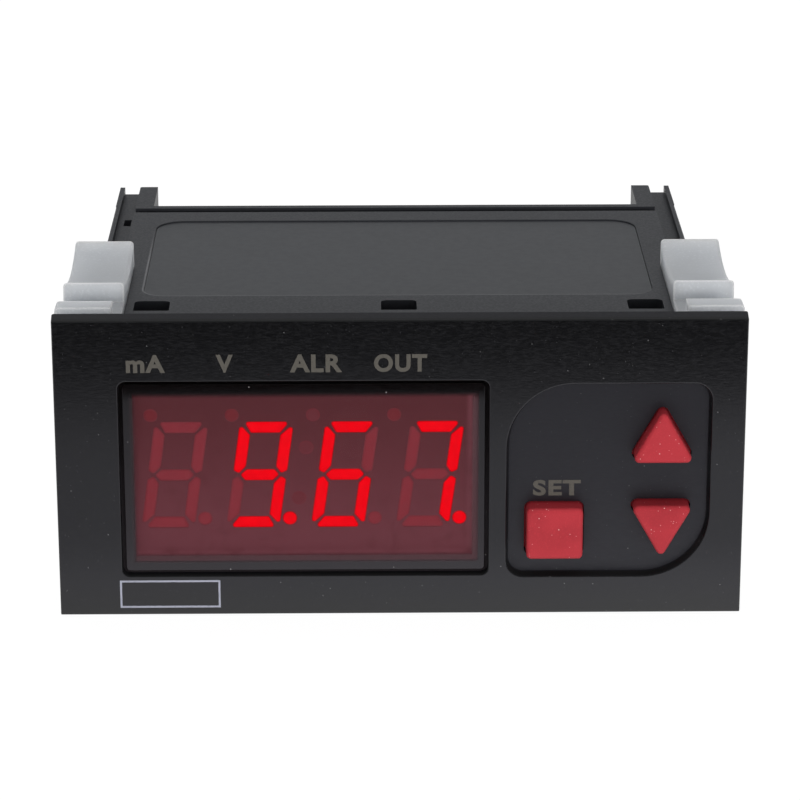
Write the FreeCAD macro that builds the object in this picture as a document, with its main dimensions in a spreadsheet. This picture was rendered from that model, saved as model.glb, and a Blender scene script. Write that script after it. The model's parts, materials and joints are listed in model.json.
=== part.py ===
"""Digital panel indicator with a 77 x 35 mm front, as a parametric document.

Millimetres. The origin is the centre of the bezel's back face, which seats on the panel:
+X to the right seen from the front, +Y back through the panel, +Z up.
"""

import FreeCAD, Part
import math
import operator
import os
import types

import Sketcher

DIMENSIONS = {
    # front bezel
    "bezel_width": 77.0,
    "bezel_height": 35.0,
    "bezel_depth": 2.5,
    "bezel_draft_angle": 3.4,
    "bezel_corner": 0.25,
    "bezel_edge": 0.2,
    "seat_width": 71.2,
    "seat_height": 28.9,
    "seat_depth": 0.6,
    "arm_width": 3.6,
    "arm_inner": 11.55,
    "arm_outer": 12.2,
    "arm_length": 16.4,
    "hook_front": 12.4,
    "hook_back": 15.4,
    "hook_top": 13.4,
    "post_radius": 1.4,
    "post_left": -31.4,
    "post_right": 22.8,
    "post_rise": 8.8,
    "peg_radius": 0.8,
    "peg_length": 2.1,
    # display window
    "window_x": -10.7,
    "window_z": -1.16,
    "window_width": 41.17,
    "window_height": 23.04,
    "window_corner": 0.9,
    "window_edge": 0.14,
    "lens_set_back": 0.5,
    "lens_depth": 0.95,
    "lens_gap": 0.04,
    "lens_flange": 0.35,
    "lens_trench": 0.46,
    "lens_edge": 0.08,
    # display module
    "display_x": -10.43,
    "display_z": -1.45,
    "display_width": 38.75,
    "display_height": 20.0,
    "display_depth": 8.0,
    "display_face": 0.9,
    "display_gap": 0.1,
    "digit_x": -10.96,
    "digit_z": -1.17,
    "digit_height": 12.62,
    "digit_width": 6.06,
    "digit_pitch": 9.52,
    "digit_slant_angle": 8.0,
    "segment_width": 1.37,
    "segment_gap": 0.11,
    "segment_cut": 0.45,
    "segment_shoulder": 0.55,
    "segment_corner": 0.3,
    "segment_edge": 0.26,
    "segment_edge_drop": 0.05,
    "segment_depth": 0.3,
    "point_radius": 0.82,
    "point_offset": 3.31,
    "point_drop": 5.2,
    "lamp_radius": 0.78,
    "lamp_pitch": 9.04,
    "lamp_x": -14.24,
    "lamp_z": 5.88,
    # key area
    "keypad_left": 11.8,
    "keypad_right": 34.62,
    "keypad_bottom": -12.92,
    "keypad_top": 9.92,
    "keypad_depth": 1.0,
    "keypad_draft_angle": 18.0,
    "keypad_large_corner": 7.6,
    "keypad_small_corner": 2.0,
    "keypad_edge": 0.2,
    "key_front": 3.75,
    "key_gap": 0.2,
    "key_corner": 0.55,
    "key_edge": 0.5,
    "key_lip": 0.45,
    "key_lip_cut": 1.55,
    "key_lip_front": 0.5,
    "key_lip_depth": 0.8,
    "key_travel": 0.6,
    "set_key_x": 17.25,
    "set_key_z": -7.46,
    "set_key_width": 6.32,
    "set_key_height": 6.02,
    "arrow_x": 29.18,
    "arrow_half_width": 3.55,
    "arrow_height": 6.32,
    "up_key_base": 0.9,
    "down_key_base": -4.2,
    "stem_radius": 1.6,
    # boards and switches
    "board_thickness": 1.6,
    "display_board_half_width": 32.6,
    "display_board_half_height": 10.9,
    "switch_size": 6.0,
    "switch_depth": 3.5,
    "plunger_radius": 1.7,
    "plunger_gap": 0.06,
    "plunger_length": 1.9,
    "plunger_proud": 1.0,
    "bore_depth": 2.4,
    "pin_radius": 0.3,
    "pin_hole_radius": 0.45,
    "pin_pitch": 2.54,
    "main_board_top": -8.0,
    "main_board_front": 9.7,
    "main_board_back": 64.0,
    "main_board_half_width": 32.4,
    "main_board_tail_half_width": 29.9,
    "main_board_tail_front": 54.0,
    "header_depth": 2.5,
    "header_width": 20.4,
    # housing
    "housing_half_width": 35.3,
    "housing_half_height": 14.1,
    "housing_front": -0.5,
    "housing_back": 56.3,
    "wall_side": 1.8,
    "wall_top": 1.8,
    "wall_back": 2.0,
    "outer_corner": 0.3,
    "channel_inner": 32.75,
    "channel_outer": 34.7,
    "channel_depth": 0.9,
    "groove_front": 53.3,
    "groove_back": 55.2,
    "groove_depth": 1.2,
    "slot_pitch": 28.3,
    "slot_width": 4.1,
    "slot_front": 11.9,
    "slot_back": 15.65,
    "slot_front_corner": 0.2,
    "slot_back_corner": 0.7,
    "recess_half_width": 29.6,
    "recess_front": 17.8,
    "recess_back": 49.35,
    "recess_depth": 0.3,
    "recess_front_corner": 2.5,
    "recess_back_corner": 3.4,
    "recess_edge": 0.1,
    "label_thickness": 0.12,
    "label_gap": 0.06,
    "tower_back": 65.2,
    "cheek_inner": 30.5,
    "cheek_outer": 32.65,
    "cheek_back": 65.4,
    "tower_slot_outer": 33.9,
    "tower_slot_half_height": 11.5,
    "bay_half_width": 30.3,
    "bay_bottom": -11.3,
    "bay_top": 6.0,
    "vent_width": 7.0,
    "vent_height": 1.6,
    "vent_pitch": 11.5,
    "vent_z": 9.2,
    "guide_inner": 31.6,
    "guide_thickness": 1.0,
    "guide_gap": 0.1,
    "guide_front": 18.0,
    "peep_near": 33.1,
    "peep_far": 34.0,
    "peep_front": 50.2,
    "peep_back": 53.0,
    "rack_front": 9.0,
    "rack_pitch": 1.6,
    "rack_depth": 0.5,
    "rack_half_height": 4.5,
    # terminals
    "terminal_pitch": 5.0,
    "block_front": 55.6,
    "block_back": 64.4,
    "block_top": 5.5,
    "block_half_width": 30.0,
    "screw_y": 60.2,
    "screw_head_radius": 1.8,
    "screw_head_bottom": 2.6,
    "screw_head_top": 4.4,
    "screw_radius": 1.25,
    "screw_end": -3.0,
    "screw_slot_width": 0.6,
    "screw_slot_depth": 0.8,
    "well_radius": 1.95,
    "well_floor": 2.5,
    "shank_hole_radius": 1.4,
    "cavity_half_width": 1.95,
    "cavity_front": 57.7,
    "cavity_back": 62.7,
    "cavity_bottom": -7.0,
    "cavity_top": 1.2,
    "clamp_half_width": 1.8,
    "clamp_half_depth": 2.3,
    "clamp_bottom": -6.6,
    "clamp_top": -0.6,
    "clamp_floor": 0.8,
    "clamp_roof": 1.5,
    "clamp_wall": 0.5,
    "clamp_bore_radius": 1.3,
    "wire_half_width": 1.7,
    "wire_bottom": -6.4,
    "wire_top": -2.4,
    "bar_half_width": 1.1,
    "bar_front": 56.2,
    "bar_back": 62.4,
    "bar_bottom": -3.9,
    "bar_thickness": 0.6,
    "leg_half_width": 0.5,
    "leg_depth": 0.8,
    "leg_end": -10.6,
    "leg_gap": 0.05,
    "leg_hole_radius": 0.7,
    # mounting clips
    "clip_front": 2.9,
    "clip_back": 29.0,
    "clip_inner": 31.25,
    "clip_outer": 38.15,
    "clip_top": 17.5,
    "clip_gap": 0.15,
    "clip_hook_inner": 33.2,
    "clip_hook_outer": 34.5,
    "clip_hook_depth": 0.6,
    "foot_inner": 32.1,
    "foot_outer": 38.45,
    "foot_top": 17.3,
    "foot_back": 5.4,
    "valley_floor": 15.3,
    "ridge_foot": 11.3,
    "ridge_top": 11.8,
    "saddle_radius": 27.0,
    "rear_top": 17.4,
    "relief_depth": 0.95,
    "relief_half_height": 6.0,
    "tongue_front": 9.0,
    "tongue_back": 23.0,
    "tongue_half_height": 3.5,
    "tongue_slot": 0.9,
    "pawl_length": 2.0,
    "pawl_gap": 0.1,
    "clip_round": 0.45,
    "grip_pitch": 1.8,
    "grip_depth": 0.45,
}

TERMINAL_COUNT = 12
HEADER_PINS = 8
DISPLAY_PINS = 6
RACK_TEETH = 32
GRIP_RIBS = 4
VENTS = 5
SIDES = {"left": -1, "right": 1}

# which segments of each digit are lit: top a, then clockwise b to f, and g across the middle
DIGITS = ["", "abcdfg", "acdefg", "abc"]
POINTS_LIT = [False, True, False, True]

OPERATIONS = {"+": operator.add, "-": operator.sub, "*": operator.mul, "/": operator.truediv}

doc = FreeCAD.newDocument("panel_indicator")
nodes = []


class Dim:
    """A length: its number, and the spreadsheet expression that gives it."""

    def __init__(self, number, text):
        self.number = number
        self.text = text

    def __add__(self, other):
        return combine(self, "+", other)

    def __radd__(self, other):
        return combine(other, "+", self)

    def __sub__(self, other):
        return combine(self, "-", other)

    def __rsub__(self, other):
        return combine(other, "-", self)

    def __mul__(self, other):
        return combine(self, "*", other)

    def __rmul__(self, other):
        return combine(other, "*", self)

    def __truediv__(self, other):
        return combine(self, "/", other)

    def __neg__(self):
        return combine(0.0, "-", self)


def as_dim(value):
    if isinstance(value, Dim):
        return value
    return Dim(float(value), f"({float(value)})")


def combine(left, sign, right):
    left = as_dim(left)
    right = as_dim(right)
    number = OPERATIONS[sign](left.number, right.number)
    return Dim(number, f"({left.text} {sign} {right.text})")


def make_sheet():
    """The driving dimensions, one aliased cell each."""
    sheet = doc.addObject("Spreadsheet::Sheet", "dims")
    named = types.SimpleNamespace()
    for row, (alias, number) in enumerate(DIMENSIONS.items(), 1):
        sheet.set(f"A{row}", alias)
        sheet.set(f"B{row}", str(number))
        sheet.setAlias(f"B{row}", alias)
        setattr(named, alias, Dim(number, f"dims.{alias}"))
    doc.recompute()
    return named


d = make_sheet()


def bind(item, path, value):
    item.setExpression(path, as_dim(value).text)


def keep(item, label):
    """Name a finished sub-part and list it for export."""
    item.Label = label
    nodes.append(item)
    return item


# Part primitives and booleans


def box(name, x_span, y_span, z_span):
    item = doc.addObject("Part::Box", name)
    for size, axis, span in zip(("Length", "Width", "Height"), "xyz", (x_span, y_span, z_span)):
        low, high = span
        bind(item, size, as_dim(high) - low)
        bind(item, f"Placement.Base.{axis}", low)
    return item


TURNS = {
    "x": FreeCAD.Rotation(FreeCAD.Vector(0, 1, 0), 90),
    "y": FreeCAD.Rotation(FreeCAD.Vector(1, 0, 0), -90),
    "z": FreeCAD.Rotation(),
}


def cylinder(name, axis, radius, x, y, z, length):
    """A cylinder from (x, y, z) along the named axis."""
    item = doc.addObject("Part::Cylinder", name)
    item.Placement = FreeCAD.Placement(FreeCAD.Vector(), TURNS[axis])
    bind(item, "Radius", radius)
    bind(item, "Height", length)
    for letter, value in zip("xyz", (x, y, z)):
        bind(item, f"Placement.Base.{letter}", value)
    return item


def fuse(name, shapes):
    item = doc.addObject("Part::MultiFuse", name)
    item.Shapes = list(shapes)
    item.Refine = True
    return item


def group(name, shapes):
    item = doc.addObject("Part::Compound", name)
    item.Links = list(shapes)
    return item


def cut(name, base, tools):
    tools = list(tools)
    item = doc.addObject("Part::Cut", name)
    item.Base = base
    item.Tool = tools[0] if len(tools) == 1 else fuse(f"{name}_tools", tools)
    item.Refine = True
    return item


# PartDesign bodies, sketches and features


def new_body(label):
    return keep(doc.addObject("PartDesign::Body", label), label)


def sketch_on(body, role, offset=0.0):
    plane = next(f for f in body.Origin.OriginFeatures if f.Role == role)
    sketch = body.newObject("Sketcher::SketchObject", f"{body.Name}_sketch")
    sketch.AttachmentSupport = [(plane, "")]
    sketch.MapMode = "FlatFace"
    bind(sketch, "AttachmentOffset.Base.z", offset)
    return sketch


def fix(sketch, kind, geometry, point, value):
    value = as_dim(value)
    constraint = Sketcher.Constraint(kind, -1, 1, geometry, point, value.number)
    index = sketch.addConstraint(constraint)
    sketch.setExpression(f"Constraints[{index}]", value.text)


def arc_between(start, end, radius):
    """A minor arc from start to end, anticlockwise for a positive radius, else clockwise."""
    if radius < 0:
        start, end = end, start
    chord = end - start
    half = chord.Length / 2
    left = FreeCAD.Vector(-chord.y, chord.x, 0).normalize()
    centre = (start + end) / 2 + left * math.sqrt(radius * radius - half * half)
    first = math.atan2(start.y - centre.y, start.x - centre.x)
    last = math.atan2(end.y - centre.y, end.x - centre.x)
    circle = Part.Circle(centre, FreeCAD.Vector(0, 0, 1), abs(radius))
    return Part.ArcOfCircle(circle, first, last)


def outline(sketch, points, arcs=None):
    """A closed outline; arcs gives an edge's radius by the index of its first point."""
    arcs = arcs or {}
    places = [FreeCAD.Vector(as_dim(x).number, as_dim(y).number, 0) for x, y in points]
    edges = []
    for i, start in enumerate(places):
        end = places[(i + 1) % len(places)]
        radius = as_dim(arcs[i]).number if i in arcs else 0.0
        if radius:
            edge = sketch.addGeometry(arc_between(start, end, radius), False)
            length = arcs[i] if radius > 0 else -as_dim(arcs[i])
            size = Sketcher.Constraint("Radius", edge, abs(radius))
            index = sketch.addConstraint(size)
            sketch.setExpression(f"Constraints[{index}]", as_dim(length).text)
        else:
            edge = sketch.addGeometry(Part.LineSegment(start, end), False)
        ends = (2, 1) if radius < 0 else (1, 2)
        edges.append((edge, *ends))
    for i, (edge, first, last) in enumerate(edges):
        after, after_first, _ = edges[(i + 1) % len(edges)]
        sketch.addConstraint(Sketcher.Constraint("Coincident", edge, last, after, after_first))
        x, y = points[i]
        fix(sketch, "DistanceX", edge, first, x)
        fix(sketch, "DistanceY", edge, first, y)


def rectangle(sketch, left, right, bottom, top):
    outline(sketch, [(left, bottom), (right, bottom), (right, top), (left, top)])


def rounded_rectangle(sketch, left, right, bottom, top, radii):
    """radii are those of the corners at the bottom left, bottom right, top right and top left."""
    low_left, low_right, high_right, high_left = radii
    points = [
        (left + low_left, bottom),
        (right - low_right, bottom),
        (right, bottom + low_right),
        (right, top - high_right),
        (right - high_right, top),
        (left + high_left, top),
        (left, top - high_left),
        (left, bottom + low_left),
    ]
    outline(sketch, points, {1: low_right, 3: high_right, 5: high_left, 7: low_left})


def ring(sketch, x, y, radius):
    radius = as_dim(radius)
    place = FreeCAD.Vector(as_dim(x).number, as_dim(y).number, 0)
    circle = sketch.addGeometry(Part.Circle(place, FreeCAD.Vector(0, 0, 1), radius.number), False)
    index = sketch.addConstraint(Sketcher.Constraint("Radius", circle, radius.number))
    sketch.setExpression(f"Constraints[{index}]", radius.text)
    fix(sketch, "DistanceX", circle, 3, x)
    fix(sketch, "DistanceY", circle, 3, y)


def volume_of(body):
    doc.recompute()
    return body.Shape.Volume


def feature(kind, body, sketch, length, away, draft):
    item = body.newObject(f"PartDesign::{kind}", f"{body.Name}_{kind.lower()}")
    item.Profile = sketch
    item.Reversed = away
    bind(item, "Length", length)
    if draft is not None:
        bind(item, "TaperAngle", draft)
    sketch.Visibility = False
    return item


def pad(body, sketch, length, away=False, draft=None):
    """Add material along the sketch's normal, or away from it."""
    before = volume_of(body) if body.Tip else 0.0
    item = feature("Pad", body, sketch, length, away, draft)
    if volume_of(body) <= before:
        raise RuntimeError(f"{item.Name} added nothing")
    return item


def pocket(body, sketch, length, away=False, draft=None):
    """Cut against the sketch's normal, or along it."""
    before = volume_of(body)
    item = feature("Pocket", body, sketch, length, away, draft)
    if volume_of(body) >= before:
        raise RuntimeError(f"{item.Name} cut nothing")
    return item


def fillet(body, radius, wanted):
    """Round the edges of the body's last feature that wanted accepts."""
    doc.recompute()
    base = body.Tip
    names = [f"Edge{i}" for i, edge in enumerate(base.Shape.Edges, 1) if wanted(edge)]
    item = body.newObject("PartDesign::Fillet", f"{body.Name}_fillet")
    item.Base = (base, names)
    bind(item, "Radius", radius)
    doc.recompute()
    return item


def along_y(edge):
    ends = edge.Vertexes
    if len(ends) < 2 or not isinstance(edge.Curve, Part.Line):
        return False
    return abs(edge.Curve.Direction.y) > 0.999


def lies_at_y(edge, y):
    return all(abs(vertex.Y - y) < 1e-4 for vertex in edge.Vertexes)


# front bezel, window and keys


def square_points():
    left = d.set_key_x - d.set_key_width / 2
    right = d.set_key_x + d.set_key_width / 2
    bottom = d.set_key_z - d.set_key_height / 2
    top = d.set_key_z + d.set_key_height / 2
    return [(left, bottom), (right, bottom), (right, top), (left, top)]


def arrow_points(base, direction):
    """A triangle with its base level and its tip up or down."""
    left = (d.arrow_x - d.arrow_half_width, base)
    right = (d.arrow_x + d.arrow_half_width, base)
    tip = (d.arrow_x, base + d.arrow_height * direction)
    return [left, right, tip] if direction > 0 else [right, left, tip]


def grown(points, gap):
    """The outline of straight edges moved outwards by gap, corner by corner."""
    count = len(points)
    numbers = [(as_dim(x).number, as_dim(y).number) for x, y in points]
    result = []
    for i, (x, y) in enumerate(points):
        here = FreeCAD.Vector(*numbers[i], 0)
        back = (here - FreeCAD.Vector(*numbers[i - 1], 0)).normalize()
        ahead = (FreeCAD.Vector(*numbers[(i + 1) % count], 0) - here).normalize()
        outward = FreeCAD.Vector(back.y + ahead.y, -back.x - ahead.x, 0).normalize()
        reach = 1.0 / (outward.x * ahead.y - outward.y * ahead.x)
        result.append((x + gap * (outward.x * reach), y + gap * (outward.y * reach)))
    return result


def blunted(points, length):
    """The outline with each corner cut off at length along its two edges."""
    count = len(points)
    numbers = [FreeCAD.Vector(as_dim(x).number, as_dim(y).number, 0) for x, y in points]
    result = []
    for i, (x, y) in enumerate(points):
        for other in (numbers[i - 1], numbers[(i + 1) % count]):
            way = (other - numbers[i]).normalize()
            result.append((x + length * way.x, y + length * way.y))
    return result


KEYS = {
    "set": (square_points(), d.set_key_x, d.set_key_z),
    "up": (arrow_points(d.up_key_base, 1), d.arrow_x, d.up_key_base + d.arrow_height * 0.36),
    "down": (arrow_points(d.down_key_base, -1), d.arrow_x, d.down_key_base - d.arrow_height * 0.36),
}


def make_bezel():
    body = new_body("front_bezel")
    half_width = d.bezel_width / 2
    half_height = d.bezel_height / 2
    corner = [d.bezel_corner] * 4
    plate = sketch_on(body, "XZ_Plane")
    rounded_rectangle(plate, -half_width, half_width, -half_height, half_height, corner)
    pad(body, plate, d.bezel_depth, draft=-d.bezel_draft_angle)
    front = -d.bezel_depth.number
    fillet(body, d.bezel_edge, lambda edge: lies_at_y(edge, front))

    seat = sketch_on(body, "XZ_Plane")
    half_width = d.seat_width / 2
    half_height = d.seat_height / 2
    rectangle(seat, -half_width, half_width, -half_height, half_height)
    pocket(body, seat, d.seat_depth, away=True)

    window = sketch_on(body, "XZ_Plane", d.bezel_depth)
    window_outline(window, 0.0)
    pocket(body, window, d.lens_set_back + d.lens_depth)
    display_hole = sketch_on(body, "XZ_Plane", lens_back())
    half_width = d.display_width / 2 + d.display_gap
    half_height = d.display_height / 2 + d.display_gap
    rectangle(
        display_hole,
        d.display_x - half_width,
        d.display_x + half_width,
        d.display_z - half_height,
        d.display_z + half_height,
    )
    pocket(body, display_hole, d.bezel_depth)

    keypad = sketch_on(body, "XZ_Plane", d.bezel_depth)
    large = d.keypad_large_corner
    small = d.keypad_small_corner
    rounded_rectangle(
        keypad,
        d.keypad_left,
        d.keypad_right,
        d.keypad_bottom,
        d.keypad_top,
        [small, large, small, large],
    )
    pocket(body, keypad, d.keypad_depth, draft=-d.keypad_draft_angle)
    floor = d.bezel_depth - d.keypad_depth
    holes = sketch_on(body, "XZ_Plane", floor)
    for points, _, _ in KEYS.values():
        outline(holes, grown(points, d.key_gap))
    pocket(body, holes, d.bezel_depth)
    key_left = d.keypad_left.number + 1.0
    fillet(
        body,
        d.key_corner + d.key_gap,
        lambda edge: along_y(edge) and edge.CenterOfMass.x > key_left and edge.CenterOfMass.x < 34.0,
    )

    def opening_edge(edge, left, right):
        middle = edge.CenterOfMass
        return lies_at_y(edge, front) and left < middle.x < right and abs(middle.z) < 14.0

    between = (d.keypad_left.number + d.window_x.number + d.window_width.number / 2) / 2
    fillet(body, d.window_edge, lambda edge: opening_edge(edge, -36.0, between))
    fillet(body, d.keypad_edge, lambda edge: opening_edge(edge, between, 36.0))

    arms = sketch_on(body, "XZ_Plane", d.seat_depth)
    half = d.arm_width / 2
    for step in (-1, 0, 1):
        x = d.slot_pitch * step
        rectangle(arms, x - half, x + half, d.arm_inner, d.arm_outer)
        rectangle(arms, x - half, x + half, -d.arm_outer, -d.arm_inner)
    pad(body, arms, d.arm_length + d.seat_depth, away=True)
    for step in (-1, 0, 1):
        for side in (1, -1):
            hook = sketch_on(body, "YZ_Plane", d.slot_pitch * step - half)
            points = [
                (d.hook_front, d.arm_outer * side),
                (d.hook_back, d.arm_outer * side),
                (d.hook_back - 1.2, d.hook_top * side),
                (d.hook_front, d.hook_top * side),
            ]
            outline(hook, points)
            pad(body, hook, d.arm_width)

    posts = sketch_on(body, "XZ_Plane", d.seat_depth)
    pegs = sketch_on(body, "XZ_Plane", -board_front())
    for x in (d.post_left, d.post_right):
        for z in (d.post_rise, -d.post_rise):
            ring(posts, x, z, d.post_radius)
            ring(pegs, x, z, d.peg_radius)
    pad(body, posts, board_front() + d.seat_depth, away=True)
    pad(body, pegs, d.peg_length, away=True)


def board_front():
    """Where the display board's front face is."""
    return d.display_depth - d.display_face


def lens_back():
    """How far the lens's back is in front of the panel's face."""
    return d.bezel_depth - d.lens_set_back - d.lens_depth


def window_outline(sketch, inset):
    half_width = d.window_width / 2 - inset
    half_height = d.window_height / 2 - inset
    rounded_rectangle(
        sketch,
        d.window_x - half_width,
        d.window_x + half_width,
        d.window_z - half_height,
        d.window_z + half_height,
        [d.window_corner - inset] * 4,
    )


def make_window():
    """A lens with a flange all round, which leaves a narrow trench inside the opening."""
    body = new_body("display_window")
    flange = sketch_on(body, "XZ_Plane", lens_back())
    window_outline(flange, d.lens_gap)
    pad(body, flange, d.lens_flange)
    raised = sketch_on(body, "XZ_Plane", lens_back() + d.lens_flange)
    window_outline(raised, d.lens_trench)
    pad(body, raised, d.lens_depth - d.lens_flange)
    front = d.lens_set_back.number - d.bezel_depth.number
    fillet(body, d.lens_edge, lambda edge: lies_at_y(edge, front))


def make_keys():
    for name, (points, x, z) in KEYS.items():
        body = new_body(f"{name}_key")
        cap = sketch_on(body, "XZ_Plane", d.key_lip_front)
        outline(cap, points)
        pad(body, cap, d.key_front - d.key_lip_front)
        fillet(body, d.key_corner, along_y)
        front = -d.key_front.number
        fillet(body, d.key_edge, lambda edge: lies_at_y(edge, front))
        lip = sketch_on(body, "XZ_Plane", d.key_lip_front)
        outline(lip, blunted(grown(points, d.key_gap + d.key_lip), d.key_lip_cut))
        pad(body, lip, d.key_lip_depth, away=True)
        stem = sketch_on(body, "XZ_Plane", d.key_lip_front - d.key_lip_depth)
        ring(stem, x, z, d.stem_radius)
        pad(body, stem, plunger_front() - d.key_lip_depth + d.key_lip_front, away=True)


# display board, switches and display module


def plunger_front():
    return board_front() - d.switch_depth - d.plunger_proud


def make_switches():
    front = board_front() - d.switch_depth
    half = d.switch_size / 2
    for name, (_, x, z) in KEYS.items():
        case = box(f"{name}_case", (x - half, x + half), (front, board_front()), (z - half, z + half))
        bore = cylinder(f"{name}_bore", "y", d.plunger_radius + d.plunger_gap, x, front, z, d.bore_depth)
        keep(cut(f"{name}_switch", case, [bore]), f"{name}_switch")
        plunger = cylinder(
            f"{name}_plunger", "y", d.plunger_radius, x, plunger_front(), z, d.plunger_length
        )
        keep(plunger, f"{name}_plunger")


def display_pin_places():
    for i in range(DISPLAY_PINS):
        x = d.display_x + d.pin_pitch * 2 * (i - (DISPLAY_PINS - 1) / 2)
        for z in (d.display_z + d.pin_pitch * 3, d.display_z - d.pin_pitch * 3):
            yield x, z


def header_pin_places():
    for i in range(HEADER_PINS):
        yield d.pin_pitch * (i - (HEADER_PINS - 1) / 2)


def header_z():
    return d.main_board_top + d.header_depth / 2


def make_display_board():
    body = new_body("display_board")
    sketch = sketch_on(body, "XZ_Plane", -board_front())
    half_width = d.display_board_half_width
    half_height = d.display_board_half_height
    rectangle(sketch, -half_width, half_width, -half_height, half_height)
    for x in (d.post_left, d.post_right):
        for z in (d.post_rise, -d.post_rise):
            ring(sketch, x, z, d.peg_radius + d.plunger_gap)
    for x, z in display_pin_places():
        ring(sketch, x, z, d.pin_hole_radius)
    for x in header_pin_places():
        ring(sketch, x, header_z(), d.pin_hole_radius)
    pad(body, sketch, d.board_thickness, away=True)


def make_board_pins():
    """The display module's pins and the header's pins, each a separate solid."""
    pins = []
    length = d.board_thickness + 0.7
    for i, (x, z) in enumerate(display_pin_places()):
        pins.append(cylinder(f"display_pin_{i}", "y", d.pin_radius, x, board_front(), z, length))
    length = d.main_board_front - board_front() + d.header_depth / 2
    start = board_front() + 0.1
    for i, x in enumerate(header_pin_places()):
        pins.append(cylinder(f"header_pin_{i}", "y", d.pin_radius, x, start, header_z(), length))
    keep(group("board_pins", pins), "board_pins")


def make_header():
    top = d.main_board_top
    back = d.main_board_front + d.header_depth
    half = d.header_width / 2
    block = box("header_block", (-half, half), (d.main_board_front, back), (top, top + d.header_depth))
    holes = []
    length = d.header_depth / 2 + 0.1
    for i, x in enumerate(header_pin_places()):
        holes.append(
            cylinder(f"header_hole_{i}", "y", d.pin_radius, x, d.main_board_front, header_z(), length)
        )
    keep(cut("board_header", block, holes), "board_header")


def digit_points(x, z, points):
    """Points of an upright digit, sheared to the slant and put at x, z on the display's face."""
    shear = math.tan(math.radians(d.digit_slant_angle.number))
    return [FreeCAD.Vector(x + u + v * shear, 0, z + v) for u, v in points]


def segment_outlines():
    """Each segment's letter and its outline in an upright digit centred on the origin."""
    side = d.digit_width.number / 2
    top = d.digit_height.number / 2
    wide = d.segment_width.number
    half = wide / 2
    gap = d.segment_gap.number
    short = d.segment_cut.number
    level = [
        (short - side, top),
        (side - short, top),
        (side - wide, top - wide),
        (wide - side, top - wide),
    ]
    shoulder = d.segment_shoulder.number
    upright = [
        (side, top - 1.3 * shoulder),
        (side - half / 2, top - shoulder),
        (side - wide, top - wide - 2 * gap),
        (side - wide, half + 3 * gap),
        (side - half, gap),
        (side, gap + 0.6 * half),
    ]
    middle = [
        (half + gap - side, 0.0),
        (wide + gap - side, half),
        (side - wide - gap, half),
        (side - half - gap, 0.0),
        (side - wide - gap, -half),
        (wide + gap - side, -half),
    ]
    return {
        "a": level,
        "b": upright,
        "c": [(u, -v) for u, v in upright],
        "d": [(u, -v) for u, v in level],
        "e": [(-u, -v) for u, v in upright],
        "f": [(-u, v) for u, v in upright],
        "g": middle,
    }


def inlay(points, face, depth):
    """A bar with rounded corners, let into the display's face."""
    corner = d.segment_corner.number
    flat = Part.Face(Part.makePolygon(points + points[:1]))
    flat = flat.makeOffset2D(-corner).makeOffset2D(corner).Faces[0]
    solid = flat.extrude(FreeCAD.Vector(0, depth, 0))
    solid.translate(FreeCAD.Vector(0, face, 0))
    return solid


def dot(x, z, radius, face, depth):
    return Part.makeCylinder(radius, depth, FreeCAD.Vector(x, face, z), FreeCAD.Vector(0, 1, 0))


def softened(solid, face):
    """The inlay with a wide shallow slope round its front."""
    edges = [edge for edge in solid.Edges if lies_at_y(edge, face)]
    return solid.makeChamfer(d.segment_edge_drop.number, d.segment_edge.number, edges).Solids[0]


def make_display():
    """The module's case and its segments: slanted outlines worked out from the digit's sizes."""
    face = -d.display_face.number
    depth = d.segment_depth.number
    centre = d.digit_x.number
    level = d.digit_z.number
    pitch = d.digit_pitch.number
    shear = math.tan(math.radians(d.digit_slant_angle.number))
    lit = []
    dark = []
    for i, letters in enumerate(DIGITS):
        x = centre + pitch * (i - (len(DIGITS) - 1) / 2)
        for letter, points in segment_outlines().items():
            solid = inlay(digit_points(x, level, points), face, depth)
            (lit if letter in letters else dark).append(solid)
        drop = d.point_drop.number
        point = dot(x + d.point_offset.number, level - drop, d.point_radius.number, face, depth)
        (lit if POINTS_LIT[i] else dark).append(point)
        lamp_x = d.lamp_x.number + d.lamp_pitch.number * (i - (len(DIGITS) - 1) / 2)
        dark.append(dot(lamp_x, d.lamp_z.number, d.lamp_radius.number, face, depth))
    for rise in (3.2, -2.8):
        dark.append(dot(centre + rise * shear, level + rise, d.point_radius.number, face, depth))

    half_width = d.display_width / 2
    half_height = d.display_height / 2
    case = box(
        "display_case",
        (d.display_x - half_width, d.display_x + half_width),
        (-d.display_face, board_front()),
        (d.display_z - half_height, d.display_z + half_height),
    )
    wells = doc.addObject("Part::Feature", "segment_wells")
    wells.Shape = Part.makeCompound(lit + dark)
    for label, solids in (("lit_segments", lit), ("dark_segments", dark)):
        item = doc.addObject("Part::Feature", label)
        item.Shape = Part.makeCompound([softened(solid, face) for solid in solids])
        keep(item, label)
    keep(cut("led_display", case, [wells]), "led_display")


# main board and what it carries


def make_main_board():
    body = new_body("main_board")
    sketch = sketch_on(body, "XY_Plane", d.main_board_top)
    wide = d.main_board_half_width
    narrow = d.main_board_tail_half_width
    front = d.main_board_front
    step = d.main_board_tail_front
    back = d.main_board_back
    points = [
        (-wide, front),
        (wide, front),
        (wide, step),
        (narrow, step),
        (narrow, back),
        (-narrow, back),
        (-narrow, step),
        (-wide, step),
    ]
    outline(sketch, points)
    for x in terminal_places():
        ring(sketch, x, d.bar_front + d.leg_depth / 2, d.leg_hole_radius)
    pad(body, sketch, d.board_thickness, away=True)


def on_board(name, x_span, y_span, height):
    top = d.main_board_top
    return box(name, x_span, y_span, (top, top + height))


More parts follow.
